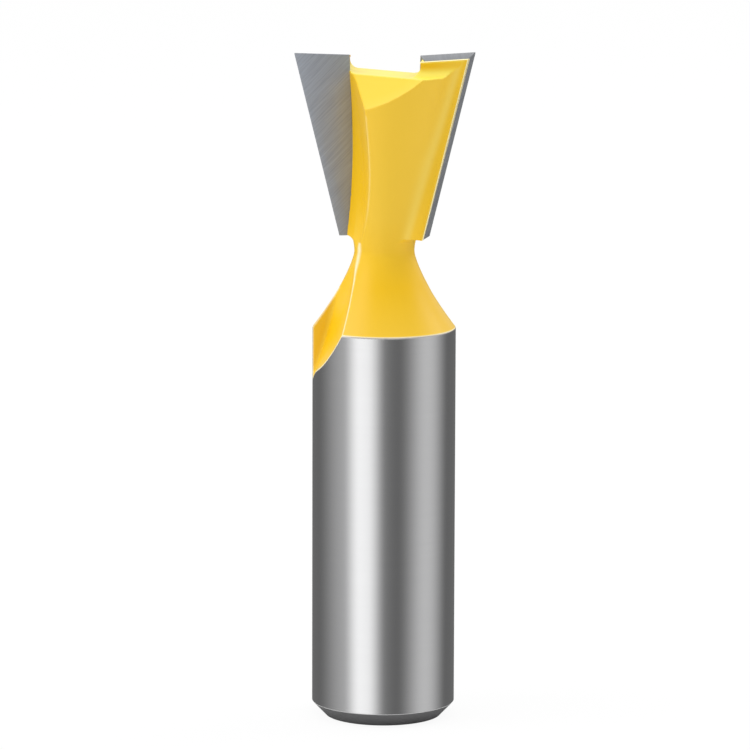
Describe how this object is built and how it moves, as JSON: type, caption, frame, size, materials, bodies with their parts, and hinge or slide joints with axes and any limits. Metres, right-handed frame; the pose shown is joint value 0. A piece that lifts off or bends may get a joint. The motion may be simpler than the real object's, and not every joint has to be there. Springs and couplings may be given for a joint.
{
  "type": "dovetail cutter",
  "caption": "Dovetail cutter for a router: round shank, waisted neck and flared fluted head with brazed carbide tips for cutting dovetail slots.",
  "frame": {"origin": "on the tool's axis, at the flat end of the shank, on which the cutter stands", "axes": "+Z along the axis from the shank's end to the cutting head; +X along the tips, tip 1 at -X with its rake face towards -Y, tip 2 at +X with its rake face towards +Y"},
  "size_m": [0.0156, 0.0126, 0.0594],
  "materials": {
    "body": "glossy yellow enamel on head, neck and gullets, ground bare steel on the shank",
    "tip": "carbide with a fine ground face",
    "braze": "bright braze, ground flush"
  },
  "bodies": {
    "root": {"body": "body", "cutting_tip_1": "tip", "cutting_tip_2": "tip", "braze_film_1": "braze", "braze_film_2": "braze"}
  },
  "joints": []
}
